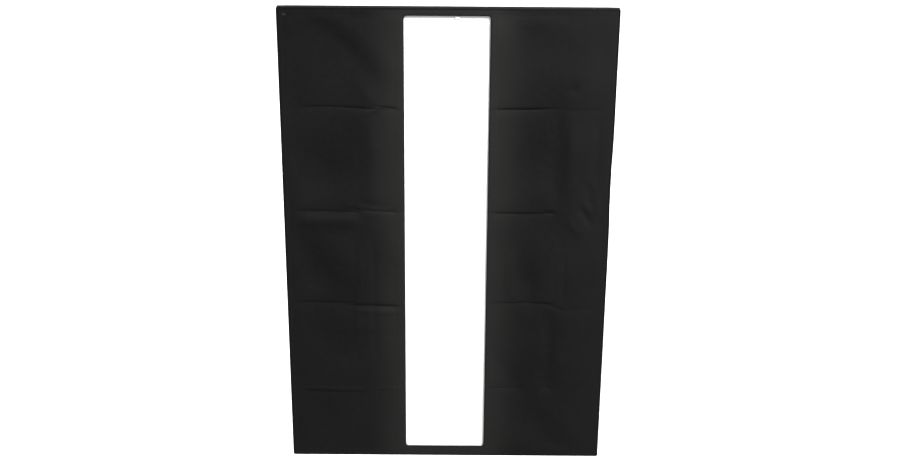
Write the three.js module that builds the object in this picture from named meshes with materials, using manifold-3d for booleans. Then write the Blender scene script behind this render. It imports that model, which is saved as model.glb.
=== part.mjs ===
// A rectangular softbox, 80 x 120 cm, wearing a black strip mask over its diffuser.
// The origin is the centre of the face that meets the light head. The light travels towards -Y,
// +Z is up and the tall side of the front is along Z. All sizes are in millimetres.
import * as THREE from 'three';
import * as BufferGeometryUtils from 'three/addons/utils/BufferGeometryUtils.js';
import Module from 'manifold-3d';

const wasm = await Module();
wasm.setup();

// Front face and shell
const FACE_WIDTH = 800;
const FACE_HEIGHT = 1200;
const FRONT_Y = -450;
const GAP = 0.3; // clearance between touching pieces
const CLOTH = 1.6; // thickness of shell cloth, mask and diffuser
const SHELL_REAR_Y = -22;
const SHELL_REAR_HALF = 106; // half the side of the square rear opening
const SHELL_BOW = new THREE.Vector3(300, -200, 420); // control point of each corner's curve
const LIP_DEPTH = 18;
const LIP_WALL = 2;
const LIP_REAR_Y = FRONT_Y + LIP_DEPTH;

// Strip mask, centred on the face apart from its window
const WINDOW_WIDTH = 202;
const WINDOW_HEIGHT = 1151;
const WINDOW_X = -2;
const WINDOW_Z = 6;
const WINDOW_CORNER = 7;
const HEM_SIDE = 20;
const HEM_END = 13;
const PULL_TAB_X = 22;

// Rings on the light head
const SEGMENTS = 64;
const RING_RADIUS = 92;
const RING_DEPTH = 40;
const REAR_LIP_BORE = 71;
const FLANGE_RADIUS = 76;
const FLANGE_REAR_Y = -4.4;
const FLANGE_FRONT_Y = -20;
const SEAT_BORE = 59;
const LUG_RADIUS = 68;
const LUG_REAR_Y = 9;
const RETAINER_SEAT_RADIUS = 84.5;
const RETAINER_SCREW_RADIUS = 80.4;
const RETAINER_BORE = 66;
const SCREW_HOLE = 2.3;
const COLLAR_RADIUS = 62;
const RING_EDGE = 1.5; // chamfer round the speedring's corners
const RUNNING_FIT = 0.6; // clearance round the part that turns in the ring

// Rods, one in each corner
const ROD_RADIUS = 3;
const ROD_SIDES = 8;
const ROD_START = new THREE.Vector3(66, -28, 66); // foot of the boss on the ring
const ROD_BOW = new THREE.Vector3(288, -214, 402);
const ROD_END = new THREE.Vector3(383, -413, 572);
const BOSS_RADIUS = 11;
const BOSS_LENGTH = 28;
const SOCKET_RADIUS = 6;
const SOCKET_LENGTH = 50;
const SOCKET_FOOT = 4.4;
const SOCKET_FLOOR = 5;
const SOCKET_BORE = 3.4;
const SOCKET_SEAT = 4; // depth of the boss's floor under its socket
const TIP_RADIUS = 4.6;
const TIP_LENGTH = 16;
const TIP_OVERLAP = 13; // how far a tip reaches back over its rod
const POCKET_LEG = 48;

// Lock screw on the right side of the ring
const LOCK_Y = -12.5;
const LOCK_HOLE = 4.35;
const LOCK_SCREW_RADIUS = 4;
const KNOB_RADIUS = 11;
const KNOB_START_X = 113;
const KNOB_LENGTH = 20;

// Layers inside the shell
const BAFFLE_WIDTH = 480;
const BAFFLE_HEIGHT = 720;
const BAFFLE_Y = -250;
const STRAP_Z = 330;
const STRAP_WIDTH = 25;
const STRAP_END_X = 290;
const STRAP_OVERLAP = 18; // how far a strap lies on the baffle
const TAB_START_X = 266;
const TAB_END_X = 296;
const SNAP_X = 278;
const DIFFUSER_Y = -436.2;

// Rear flaps
const FLAP_WIDTH = 150;
const FLAP_REAR_Y = 12;
const FLAP_REAR_HALF = 99;

const CORNERS = [[1, 1], [-1, 1], [-1, -1], [1, -1]]; // signs of X and Z, counted round the face
const Y_AXIS = new THREE.Vector3(0, 1, 0);

function finish(color, roughness, metalness) {
  return new THREE.MeshStandardMaterial({ color, roughness, metalness });
}

const materials = {
  mask: finish(0x242422, 0.85, 0),
  shell: finish(0x1c1c1c, 0.7, 0),
  diffusion: finish(0xf6f6f4, 0.8, 0),
  tape: finish(0x161616, 0.95, 0),
  webbing: finish(0x202020, 0.9, 0),
  castRing: finish(0x26272a, 0.5, 0.7),
  steel: finish(0xb9bcc0, 0.3, 1),
  rod: finish(0xd8d6cd, 0.45, 0),
  plastic: finish(0x1a1a1b, 0.5, 0),
  brass: finish(0xb08d4a, 0.35, 1),
};

const softbox = new THREE.Group();

function addPiece(name, geometry, material) {
  const mesh = new THREE.Mesh(geometry, material);
  mesh.name = name;
  softbox.add(mesh);
  return mesh;
}

// Solids and booleans

function toSolid(geometry) {
  const plain = geometry.clone();
  plain.deleteAttribute('normal');
  plain.deleteAttribute('uv');
  const merged = BufferGeometryUtils.mergeVertices(plain);
  const mesh = new wasm.Mesh({
    numProp: 3,
    vertProperties: merged.getAttribute('position').array,
    triVerts: Uint32Array.from(merged.getIndex().array),
  });
  return new wasm.Manifold(mesh);
}

function toGeometry(solid) {
  const mesh = solid.getMesh();
  const geometry = new THREE.BufferGeometry();
  geometry.setAttribute('position', new THREE.BufferAttribute(mesh.vertProperties, 3));
  geometry.setIndex(new THREE.BufferAttribute(mesh.triVerts, 1));
  geometry.computeVertexNormals();
  return geometry;
}

function join(geometries) {
  return toGeometry(geometries.map(toSolid).reduce((whole, part) => whole.add(part)));
}

function cut(geometry, tools) {
  return toGeometry(tools.map(toSolid).reduce((whole, tool) => whole.subtract(tool), toSolid(geometry)));
}

// Basic forms

function rectangle(x, z, width, height, radius = 0) {
  const [left, right] = [x - width / 2, x + width / 2];
  const [low, high] = [z - height / 2, z + height / 2];
  const shape = new THREE.Shape();
  if (radius === 0) {
    shape.moveTo(left, low).lineTo(right, low).lineTo(right, high).lineTo(left, high);
    return shape;
  }
  shape.absarc(right - radius, low + radius, radius, -Math.PI / 2, 0);
  shape.absarc(right - radius, high - radius, radius, 0, Math.PI / 2);
  shape.absarc(left + radius, high - radius, radius, Math.PI / 2, Math.PI);
  shape.absarc(left + radius, low + radius, radius, Math.PI, Math.PI * 1.5);
  return shape;
}

function withHole(shape, hole) {
  shape.holes.push(hole);
  return shape;
}

// A flat outline in X and Z, made into a plate between two depths.
function plate(shape, frontY, rearY, curveSegments = 4) {
  const geometry = new THREE.ExtrudeGeometry(shape, {
    depth: rearY - frontY,
    bevelEnabled: false,
    curveSegments,
  });
  return geometry.rotateX(Math.PI / 2).translate(0, rearY, 0);
}

// A rectangular band that runs round the face, given half its outer size less an inset.
function band(inset, wall, frontY, rearY) {
  const outer = [FACE_WIDTH - 2 * inset, FACE_HEIGHT - 2 * inset];
  const inner = outer.map((side) => side - 2 * wall);
  return plate(withHole(rectangle(0, 0, ...outer), rectangle(0, 0, ...inner)), frontY, rearY);
}

// A closed ring about Y from its section, listed as radius and Y.
function ring(section, segments = SEGMENTS) {
  const points = [...section, section[0]].map(([radius, y]) => new THREE.Vector2(radius, y));
  return new THREE.LatheGeometry(points, segments);
}

function cylinder(radius, length, sides) {
  return new THREE.CylinderGeometry(radius, radius, length, sides);
}

// A skin through rings of points that follow one another, closed at both ends.
function loft(rings) {
  const count = rings[0].length;
  const last = (rings.length - 1) * count;
  const indices = [];
  for (let i = 0; i < rings.length - 1; i += 1) {
    for (let j = 0; j < count; j += 1) {
      const a = i * count + j;
      const b = i * count + (j + 1) % count;
      indices.push(a, b, b + count, a, b + count, a + count);
    }
  }
  for (let j = 1; j < count - 1; j += 1) {
    indices.push(0, j + 1, j, last, last + j, last + j + 1);
  }
  const geometry = new THREE.BufferGeometry().setFromPoints(rings.flat());
  geometry.setIndex(indices);
  geometry.computeVertexNormals();
  return geometry;
}

// Moves a form made along Y to stand at a point along a direction.
function aim(geometry, point, direction) {
  const turn = new THREE.Quaternion().setFromUnitVectors(Y_AXIS, direction);
  return geometry.applyQuaternion(turn).translate(point.x, point.y, point.z);
}

function mirrored(vector, [signX, signZ]) {
  return new THREE.Vector3(vector.x * signX, vector.y, vector.z * signZ);
}

// The three-lug adapter that seats on the light head

function lug(angle) {
  const half = THREE.MathUtils.degToRad(18);
  const shape = new THREE.Shape();
  shape.absarc(0, 0, LUG_RADIUS, angle - half, angle + half, false);
  shape.absarc(0, 0, SEAT_BORE + 1.5, angle + half, angle - half, true);
  return plate(shape, LUG_REAR_Y - 4, LUG_REAR_Y, 6);
}

function bayonetInsert() {
  const body = ring([
    [SEAT_BORE, FLANGE_FRONT_Y],
    [FLANGE_RADIUS, FLANGE_FRONT_Y],
    [FLANGE_RADIUS, FLANGE_REAR_Y],
    [REAR_LIP_BORE - 0.5, FLANGE_REAR_Y],
    [REAR_LIP_BORE - 0.5, 0],
    [COLLAR_RADIUS, 0],
    [COLLAR_RADIUS, LUG_REAR_Y],
    [SEAT_BORE, LUG_REAR_Y],
  ]);
  const lugs = [90, 210, 330].map((degrees) => lug(THREE.MathUtils.degToRad(degrees)));
  return join([body, ...lugs]);
}

// The speedring, its bosses and what is fixed in it

function rodDirection(corner) {
  return mirrored(ROD_BOW, corner).sub(mirrored(ROD_START, corner)).normalize();
}

function alongRod(corner, distance) {
  return mirrored(ROD_START, corner).addScaledVector(rodDirection(corner), distance);
}

function rodForm(geometry, corner, middle) {
  return aim(geometry, alongRod(corner, middle), rodDirection(corner));
}

function speedring() {
  const body = ring([
    [REAR_LIP_BORE, -0.5],
    [RING_RADIUS - RING_EDGE, -0.5],
    [RING_RADIUS, -0.5 - RING_EDGE],
    [RING_RADIUS, RING_EDGE - RING_DEPTH],
    [RING_RADIUS - RING_EDGE, -RING_DEPTH],
    [RETAINER_SEAT_RADIUS, -RING_DEPTH],
    [RETAINER_SEAT_RADIUS, FLANGE_FRONT_Y - GAP],
    [FLANGE_RADIUS + RUNNING_FIT, FLANGE_FRONT_Y - GAP],
    [FLANGE_RADIUS + RUNNING_FIT, -4],
    [REAR_LIP_BORE, -4],
  ].reverse());
  const bosses = CORNERS.map((corner) =>
    rodForm(cylinder(BOSS_RADIUS, BOSS_LENGTH, 20), corner, BOSS_LENGTH / 2));
  const holeLength = BOSS_LENGTH + 10;
  const socketHoles = CORNERS.map((corner) =>
    rodForm(cylinder(SOCKET_RADIUS + 0.35, holeLength, 16), corner, SOCKET_SEAT + holeLength / 2));
  const screwHoles = screwPlaces().map(([x, z]) =>
    cylinder(SCREW_HOLE, 12, 12).translate(x, FLANGE_FRONT_Y + 5, z));
  const lockHole = cylinder(LOCK_HOLE, 30, 16).rotateZ(Math.PI / 2).translate(85, LOCK_Y, 0);
  return cut(join([body, ...bosses]), [...socketHoles, ...screwHoles, lockHole]);
}

function screwPlaces() {
  return [20, 110, 200, 290].map((degrees) => {
    const angle = THREE.MathUtils.degToRad(degrees);
    return [RETAINER_SCREW_RADIUS * Math.cos(angle), RETAINER_SCREW_RADIUS * Math.sin(angle)];
  });
}

const RETAINER_REAR_Y = FLANGE_FRONT_Y - 0.6;
const RETAINER_FRONT_Y = RETAINER_REAR_Y - 4;

function retainingRing() {
  const body = ring([
    [RETAINER_BORE, RETAINER_FRONT_Y],
    [RETAINER_SEAT_RADIUS - 0.5, RETAINER_FRONT_Y],
    [RETAINER_SEAT_RADIUS - 0.5, RETAINER_REAR_Y],
    [RETAINER_BORE, RETAINER_REAR_Y],
  ]);
  const holes = screwPlaces().map(([x, z]) => cylinder(SCREW_HOLE, 12, 12).translate(x, RETAINER_REAR_Y, z));
  return cut(body, holes);
}

function retainingScrew() {
  const shank = cylinder(2, 13, 12).translate(0, RETAINER_FRONT_Y + 5, 0);
  const head = cylinder(3.3, 2.4, 16).translate(0, RETAINER_FRONT_Y - GAP - 1.2, 0);
  const drive = cylinder(1.5, 2, 6).translate(0, RETAINER_FRONT_Y - GAP - 2.4, 0);
  return cut(join([head, shank]), [drive]);
}

// A tube with one closed end, standing along Y from its foot.
function cup(outer, bore, length, floor, sides) {
  const body = cylinder(outer, length, sides).translate(0, length / 2, 0);
  const hollow = cylinder(bore, length, sides).translate(0, floor + length / 2, 0);
  return cut(body, [hollow]);
}

function rodSocket(corner) {
  const tube = cup(SOCKET_RADIUS, SOCKET_BORE, SOCKET_LENGTH, SOCKET_FLOOR, 16);
  return rodForm(tube, corner, SOCKET_FOOT);
}

// The bowed rods and their ends

function rod(corner) {
  const foot = alongRod(corner, SOCKET_FOOT + SOCKET_FLOOR + 0.6);
  const leavesSocket = alongRod(corner, SOCKET_FOOT + SOCKET_LENGTH + 6);
  const route = new THREE.CurvePath();
  route.add(new THREE.LineCurve3(foot, leavesSocket));
  route.add(rodBend(corner));
  const section = new THREE.Shape();
  section.absarc(0, 0, ROD_RADIUS, 0, Math.PI * 2);
  return new THREE.ExtrudeGeometry(section, { steps: 24, curveSegments: ROD_SIDES / 2, extrudePath: route });
}

function rodBend(corner) {
  const leavesSocket = alongRod(corner, SOCKET_FOOT + SOCKET_LENGTH + 6);
  return new THREE.QuadraticBezierCurve3(leavesSocket, mirrored(ROD_BOW, corner), mirrored(ROD_END, corner));
}

function rodTip(corner) {
  const direction = rodBend(corner).getTangent(1);
  const body = cylinder(TIP_RADIUS, TIP_LENGTH, 12).translate(0, TIP_LENGTH / 2, 0);
  const nose = new THREE.CylinderGeometry(2.6, TIP_RADIUS, 3, 12).translate(0, TIP_LENGTH + 1.5, 0);
  const bore = cylinder(ROD_RADIUS + 0.4, 14, 12).translate(0, 6.4, 0);
  const start = mirrored(ROD_END, corner).addScaledVector(direction, -TIP_OVERLAP);
  return aim(cut(join([body, nose]), [bore]), start, direction);
}

function cornerPocket([signX, signZ]) {
  const [x, z] = [FACE_WIDTH / 2 - 6, FACE_HEIGHT / 2 - 8];
  const shape = new THREE.Shape();
  shape.moveTo(signX * x, signZ * z);
  shape.lineTo(signX * (x - POCKET_LEG), signZ * z);
  shape.lineTo(signX * x, signZ * (z - POCKET_LEG));
  return plate(shape, LIP_REAR_Y - 1, LIP_REAR_Y + 0.6);
}

// The shell: four panels that meet in the corners

const SHELL_STEPS = 10;
const shellCorner = new THREE.QuadraticBezierCurve3(
  new THREE.Vector3(SHELL_REAR_HALF, SHELL_REAR_Y, SHELL_REAR_HALF),
  SHELL_BOW,
  new THREE.Vector3(FACE_WIDTH / 2, LIP_REAR_Y + GAP, FACE_HEIGHT / 2),
);

// One section of a panel at a given place along the corner: a thin trapezium across the light's way.
function panelSection(t, along, outward) {
  const corner = shellCorner.getPoint(t);
  const slope = shellCorner.getTangent(t);
  const wall = (axis) => CLOTH * Math.hypot(1, slope[axis] / slope.y);
  const outerHalf = corner[along] - GAP;
  const innerHalf = outerHalf - wall(along);
  const [high, low] = [corner[outward], corner[outward] - wall(outward)];
  return [
    new THREE.Vector3(-innerHalf, corner.y, low),
    new THREE.Vector3(innerHalf, corner.y, low),
    new THREE.Vector3(outerHalf, corner.y, high),
    new THREE.Vector3(-outerHalf, corner.y, high),
  ];
}

function shellPanel(along, outward, turn) {
  const rings = [];
  for (let i = 0; i <= SHELL_STEPS; i += 1) {
    rings.push(panelSection(i / SHELL_STEPS, along, outward));
  }
  return loft(rings).rotateY(turn);
}

// A flap on the shell's rear edge that closes it round the ring.
function rearFlap(notch, turn) {
  const section = (y, z) => [
    new THREE.Vector3(-FLAP_WIDTH / 2, y, z),
    new THREE.Vector3(-FLAP_WIDTH / 2, y, z + CLOTH),
    new THREE.Vector3(FLAP_WIDTH / 2, y, z + CLOTH),
    new THREE.Vector3(FLAP_WIDTH / 2, y, z),
  ];
  const flap = loft([
    section(SHELL_REAR_Y + 0.5, SHELL_REAR_HALF - CLOTH - 1),
    section(FLAP_REAR_Y, FLAP_REAR_HALF),
  ]);
  if (!notch) return flap.rotateY(turn);
  const notchWidth = 2 * KNOB_RADIUS + 12;
  const opening = plate(rectangle(0, FLAP_REAR_HALF, notchWidth, 40), LOCK_Y - 8, FLAP_REAR_Y + 5);
  return cut(flap, [opening]).rotateY(turn);
}

// The screw that locks the ring's turn

function lockScrew() {
  const start = 79;
  const length = KNOB_START_X + KNOB_LENGTH - 8 - start;
  const shank = cylinder(LOCK_SCREW_RADIUS, length, 16).rotateZ(-Math.PI / 2);
  return shank.translate(start + length / 2, LOCK_Y, 0);
}

function lockKnob() {
  const lobes = 7;
  const points = [];
  for (let i = 0; i < lobes * 6; i += 1) {
    const angle = (i / (lobes * 6)) * Math.PI * 2;
    const radius = KNOB_RADIUS - 1 + Math.cos(angle * lobes);
    points.push(new THREE.Vector2(radius * Math.cos(angle), radius * Math.sin(angle)));
  }
  const grip = new THREE.ExtrudeGeometry(new THREE.Shape(points), {
    depth: KNOB_LENGTH - 3,
    bevelThickness: 1.5,
    bevelSize: 1.2,
    bevelOffset: -1.2,
    bevelSegments: 1,
  });
  grip.translate(0, 0, 1.5);
  const bore = cylinder(LOCK_SCREW_RADIUS + GAP, KNOB_LENGTH, 16).rotateX(Math.PI / 2);
  bore.translate(0, 0, KNOB_LENGTH / 2 - 7);
  return cut(grip, [bore]).rotateY(Math.PI / 2).translate(KNOB_START_X, LOCK_Y, 0);
}

function lockPad() {
  return cylinder(3.6, 2.2, 16).rotateZ(Math.PI / 2).translate(FLANGE_RADIUS + 0.4 + 1.1, LOCK_Y, 0);
}

// The layers across the light

function innerBaffle() {
  return plate(rectangle(0, 0, BAFFLE_WIDTH, BAFFLE_HEIGHT, 12), BAFFLE_Y - CLOTH, BAFFLE_Y);
}

function strap([signX, signZ]) {
  const [start, end] = [BAFFLE_WIDTH / 2 - STRAP_OVERLAP, STRAP_END_X];
  const middle = signX * (start + end) / 2;
  return plate(rectangle(middle, signZ * STRAP_Z, end - start, STRAP_WIDTH), BAFFLE_Y + GAP, BAFFLE_Y + 1.7);
}

function strapTab([signX, signZ]) {
  const middle = signX * (TAB_START_X + TAB_END_X) / 2;
  const length = TAB_END_X - TAB_START_X;
  return plate(rectangle(middle, signZ * STRAP_Z, length, STRAP_WIDTH), BAFFLE_Y + 2, BAFFLE_Y + 3.4);
}

function snapCap([signX, signZ]) {
  const cap = new THREE.CylinderGeometry(6, 4.5, 2.4, 16);
  return cap.translate(signX * SNAP_X, BAFFLE_Y - 1.2, signZ * STRAP_Z);
}

function frontDiffuser() {
  return plate(rectangle(0, 0, FACE_WIDTH - 10.4, FACE_HEIGHT - 10.4), DIFFUSER_Y - CLOTH, DIFFUSER_Y);
}

function windowOutline(grow, radius) {
  return rectangle(WINDOW_X, WINDOW_Z, WINDOW_WIDTH + 2 * grow[0], WINDOW_HEIGHT + 2 * grow[1], radius);
}

function stripMask() {
  const face = rectangle(0, 0, FACE_WIDTH - 2, FACE_HEIGHT - 2);
  return plate(withHole(face, windowOutline([0, 0], WINDOW_CORNER)), FRONT_Y - GAP - CLOTH, FRONT_Y - GAP);
}

function windowHem() {
  const outline = windowOutline([HEM_SIDE, HEM_END], 0);
  return plate(withHole(outline, windowOutline([0, 0], WINDOW_CORNER)), FRONT_Y, FRONT_Y + 1);
}

function pullTab() {
  const top = WINDOW_Z + WINDOW_HEIGHT / 2;
  return plate(rectangle(PULL_TAB_X, top + 2, 12, 20), FRONT_Y + 1.3, FRONT_Y + 2.5);
}

// Assembly

addPiece('bayonet_insert', bayonetInsert(), materials.castRing);
addPiece('speedring', speedring(), materials.castRing);
addPiece('retaining_ring', retainingRing(), materials.castRing);
screwPlaces().forEach(([x, z], i) => {
  addPiece(`retaining_screw_${i + 1}`, retainingScrew(), materials.steel).position.set(x, 0, z);
});
addPiece('lock_screw', lockScrew(), materials.steel);
addPiece('lock_knob', lockKnob(), materials.plastic);
addPiece('lock_pad', lockPad(), materials.brass);

CORNERS.forEach((corner, i) => {
  addPiece(`rod_socket_${i + 1}`, rodSocket(corner), materials.steel);
  addPiece(`rod_${i + 1}`, rod(corner), materials.rod);
  addPiece(`rod_tip_${i + 1}`, rodTip(corner), materials.plastic);
  addPiece(`corner_pocket_${i + 1}`, cornerPocket(corner), materials.webbing);
  addPiece(`baffle_tab_${i + 1}`, strapTab(corner), materials.webbing);
  addPiece(`baffle_strap_${i + 1}`, strap(corner), materials.webbing);
  addPiece(`baffle_snap_${i + 1}`, snapCap(corner), materials.steel);
});

const SIDES = [
  ['top', 'x', 'z', 0],
  ['right', 'z', 'x', Math.PI / 2],
  ['bottom', 'x', 'z', Math.PI],
  ['left', 'z', 'x', -Math.PI / 2],
];
SIDES.forEach(([name, along, outward, turn]) => {
  addPiece(`shell_${name}`, shellPanel(along, outward, turn), materials.shell);
  addPiece(`rear_flap_${name}`, rearFlap(name === 'right', turn), materials.shell);
});

addPiece('front_lip', band(0, LIP_WALL, FRONT_Y, LIP_REAR_Y), materials.shell);
addPiece('lip_loop_tape', band(LIP_WALL + GAP, 1, FRONT_Y + 2, LIP_REAR_Y - 2), materials.tape);
addPiece('inner_baffle', innerBaffle(), materials.diffusion);
addPiece('front_diffuser', frontDiffuser(), materials.diffusion);
addPiece('diffuser_hook_tape', band(3.6, 1.3, DIFFUSER_Y - 5, DIFFUSER_Y), materials.tape);
addPiece('strip_mask', stripMask(), materials.mask);
addPiece('mask_hook_tape', band(3.6, 1.3, FRONT_Y, FRONT_Y + 7), materials.tape);
addPiece('window_hem', windowHem(), materials.mask);
addPiece('pull_tab', pullTab(), materials.diffusion);

export default softbox;
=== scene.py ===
"""A rectangular softbox that wears a black strip mask: its cloth, webbing, metal and plastic."""

import math

import bpy
import numpy as np
from mathutils import Matrix, Vector


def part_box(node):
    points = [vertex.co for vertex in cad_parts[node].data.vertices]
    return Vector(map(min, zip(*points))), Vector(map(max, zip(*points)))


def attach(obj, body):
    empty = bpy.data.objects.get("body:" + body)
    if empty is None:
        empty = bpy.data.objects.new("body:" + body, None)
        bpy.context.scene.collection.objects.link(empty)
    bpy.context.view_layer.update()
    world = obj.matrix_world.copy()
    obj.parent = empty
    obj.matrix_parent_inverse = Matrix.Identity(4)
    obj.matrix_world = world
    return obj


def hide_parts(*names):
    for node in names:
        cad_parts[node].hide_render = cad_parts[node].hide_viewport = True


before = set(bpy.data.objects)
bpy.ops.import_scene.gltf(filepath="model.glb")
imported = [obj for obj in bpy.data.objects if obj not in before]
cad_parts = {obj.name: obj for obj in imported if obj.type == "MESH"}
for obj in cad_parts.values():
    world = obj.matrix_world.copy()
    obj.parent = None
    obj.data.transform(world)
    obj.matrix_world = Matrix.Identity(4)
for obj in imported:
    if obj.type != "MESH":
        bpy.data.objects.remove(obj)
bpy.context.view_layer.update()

# Sizes, in metres. X is to the right, Z up, and the light travels towards -Y.

MM = 0.001
LIP_LOW, LIP_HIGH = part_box("front_lip")
FACE_HALF = np.array([LIP_HIGH.x, LIP_HIGH.z])
FACE_CORNER = 5 * MM

MASK_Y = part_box("strip_mask")[0].y
MASK_HALF = FACE_HALF - 1 * MM
MASK_CLOTH = 0.9 * MM
OUTER_HEM = 11 * MM
HEM_SIDE = 20 * MM
HEM_END = 13 * MM
HEM_LOW, HEM_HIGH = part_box("window_hem")
WINDOW_LOW = np.array([HEM_LOW.x + HEM_SIDE, HEM_LOW.z + HEM_END])
WINDOW_HIGH = np.array([HEM_HIGH.x - HEM_SIDE, HEM_HIGH.z - HEM_END])
WINDOW_CENTRE = (WINDOW_LOW + WINDOW_HIGH) / 2
WINDOW_HALF = (WINDOW_HIGH - WINDOW_LOW) / 2
WINDOW_CORNER = 7 * MM

DIFFUSER_LOW, DIFFUSER_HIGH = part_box("front_diffuser")
DIFFUSER_HALF = np.array([DIFFUSER_HIGH.x, DIFFUSER_HIGH.z])
DIFFUSER_FACE_Y = DIFFUSER_LOW.y + 0.6 * MM
DIFFUSER_HEM = 25 * MM
# the deepest a fold of the mask can go before it touches the diffuser
MASK_DEPTH = DIFFUSER_LOW.y - MASK_Y - 3 * MM

BAFFLE_LOW, BAFFLE_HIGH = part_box("inner_baffle")
BAFFLE_HALF = np.array([BAFFLE_HIGH.x, BAFFLE_HIGH.z])
BAFFLE_FACE_Y = BAFFLE_LOW.y + 0.8 * MM
BAFFLE_CORNER = 12 * MM

# The shell's corner seam is a curve from the ring, past the bow's control point, to the lip.
SHELL_REAR = Vector((0.106, -0.022, 0.106))
SHELL_BOW = Vector((0.300, -0.200, 0.420))
SHELL_FRONT = Vector((FACE_HALF[0], LIP_HIGH.y + 0.3 * MM, FACE_HALF[1]))
SHELL_CLOTH = 0.7 * MM
FLAP_LENGTH = 34 * MM
NOTCH_HALF = 17 * MM
NOTCH_Y = -20.5 * MM

FLOOR_Z = -1.6
FLOOR_REACH = 30
CORNERS = [(1, 1), (-1, 1), (-1, -1), (1, -1)]
SIDES = ["top", "right", "bottom", "left"]
FORWARD = [0.0, -1.0, 0.0]


# Node materials

class Finish:
    """A Principled material and the nodes that vary it."""

    def __init__(self, name, color, roughness, metallic=0.0, specular=0.5):
        self.material = bpy.data.materials.new(name)
        self.material.use_nodes = True
        self.nodes = self.material.node_tree.nodes
        self.links = self.material.node_tree.links
        self.shader = self.nodes["Principled BSDF"]
        self.color = (*color, 1.0)
        self.set("Base Color", self.color)
        self.set("Roughness", roughness)
        self.set("Metallic", metallic)
        self.set("Specular IOR Level", specular)
        self.material.diffuse_color = self.color

    def set(self, socket, value):
        self.shader.inputs[socket].default_value = value

    def link(self, source, socket):
        self.links.new(source, self.shader.inputs[socket])

    def feed(self, socket, value):
        """Gives an input a value or another node's output."""
        if isinstance(value, bpy.types.NodeSocket):
            self.links.new(value, socket)
        else:
            socket.default_value = value

    def add(self, kind, **inputs):
        """A node with its named inputs fed."""
        node = self.nodes.new(kind)
        for name, value in inputs.items():
            self.feed(node.inputs[name.replace("_", " ")], value)
        return node

    def math(self, operation, first, second=0.0):
        node = self.add("ShaderNodeMath")
        node.operation = operation
        self.feed(node.inputs[0], first)
        self.feed(node.inputs[1], second)
        return node.outputs[0]

    def place(self, on_cloth):
        """Flat cloth coordinates in metres, or places in the object."""
        node = self.add("ShaderNodeTexCoord")
        return node.outputs["UV" if on_cloth else "Object"]

    def stretched(self, vector, scale):
        node = self.add("ShaderNodeMapping", Vector=vector, Scale=scale)
        return node.outputs[0]

    def noise(self, vector, scale, detail=3.0):
        node = self.add("ShaderNodeTexNoise", Vector=vector, Scale=scale, Detail=detail)
        return node.outputs["Fac"]

    def attribute(self, name):
        node = self.add("ShaderNodeAttribute")
        node.attribute_name = name
        return node.outputs["Fac"]

    def spread(self, factor, low, high):
        """Maps 0 to 1 onto low to high."""
        node = self.add("ShaderNodeMapRange", Value=factor, To_Min=low, To_Max=high)
        return node.outputs[0]

    def mix(self, factor, first, second):
        node = self.add("ShaderNodeMix")
        node.data_type = "RGBA"
        for socket, value in ((0, factor), (6, first), (7, second)):
            self.feed(node.inputs[socket], value)
        return node.outputs[2]

    def shade(self, factor, low, high):
        """Varies the base colour's brightness from low to high times itself."""
        dark = tuple(c * low for c in self.color[:3]) + (1.0,)
        light = tuple(min(1.0, c * high) for c in self.color[:3]) + (1.0,)
        return self.mix(factor, dark, light)

    def worn(self, wear, low, high, smooth, rough):
        """Varies the colour from low to high times itself and the roughness from smooth to rough."""
        self.link(self.shade(wear, low, high), "Base Color")
        self.link(self.spread(wear, smooth, rough), "Roughness")

    def wave(self, distance, pitch):
        """A sine wave that repeats at every pitch."""
        return self.math("SINE", self.math("MULTIPLY", distance, 2 * math.pi / pitch))

    def weave(self, vector, pitch):
        """The height of a plain weave with that thread spacing."""
        split = self.add("ShaderNodeSeparateXYZ", Vector=vector)
        warp, weft = [self.wave(split.outputs[axis], pitch) for axis in (0, 1)]
        return self.spread(self.math("MULTIPLY", warp, weft), 0.0, 1.0)

    def bump(self, height, strength, distance):
        node = self.add("ShaderNodeBump", Height=height, Strength=strength, Distance=distance)
        self.link(node.outputs[0], "Normal")


def woven(name, color, roughness, pitch, specular=0.3, sheen=0.0, strength=0.4, variation=0.15):
    """Plain woven cloth with slubs and slow changes of tone."""
    finish = Finish(name, color, roughness, specular=specular)
    finish.set("Sheen Weight", sheen)
    finish.set("Sheen Roughness", 0.5)
    cloth = finish.place(on_cloth=True)
    weave = finish.weave(cloth, pitch)
    slubs = finish.noise(finish.stretched(cloth, (40, 700, 1)), 1.0, 2.0)
    tone = finish.noise(cloth, 9.0, 4.0)
    finish.link(finish.shade(tone, 1 - variation, 1 + variation), "Base Color")
    finish.link(finish.spread(slubs, roughness - 0.08, roughness + 0.1), "Roughness")
    height = finish.math("ADD", weave, finish.math("MULTIPLY", slubs, 0.6))
    finish.bump(height, strength, 0.25 * MM)
    return finish


def mask_black():
    """Black polyester: paler near the window, where a painted glow lies over the hem's olive tint, paler
    at the outer sides with painted light, darkest along the very edges with painted shade, and blotched
    with painted shade from small wrinkles.
    """
    finish = woven("mask_black", (0.0049, 0.0049, 0.0049), 0.62, 0.7 * MM, specular=0.05)
    cloth = finish.place(on_cloth=True)
    # The patches and the mottle are painted shade and light standing in for small wrinkles, from 0.35 to
    # 1.75 times the black.
    patches = finish.noise(cloth, 5.0, 1.5)
    mottle = finish.noise(cloth, 75.0, 3.0)
    tone = finish.math("ADD", finish.math("MULTIPLY", patches, 0.6), finish.math("MULTIPLY", mottle, 0.4))
    black = finish.shade(tone, 0.35, 1.75)
    # Painted light on the outer sides, strongest on the right, where the light falls from.
    outer = finish.mix(finish.attribute("outer"), black, (0.0070, 0.0070, 0.0070, 1))
    # Paler and olive towards the window: the hem's olive tint with a painted glow over it.
    hem = finish.mix(finish.attribute("hem"), outer, (0.0114, 0.0114, 0.0110, 1))
    # Painted shade, nearly black, along the outer edge and the window's edge.
    edge = finish.mix(finish.attribute("edge"), hem, (0.0008, 0.0008, 0.0008, 1))
    finish.link(edge, "Base Color")
    return finish.material


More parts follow.
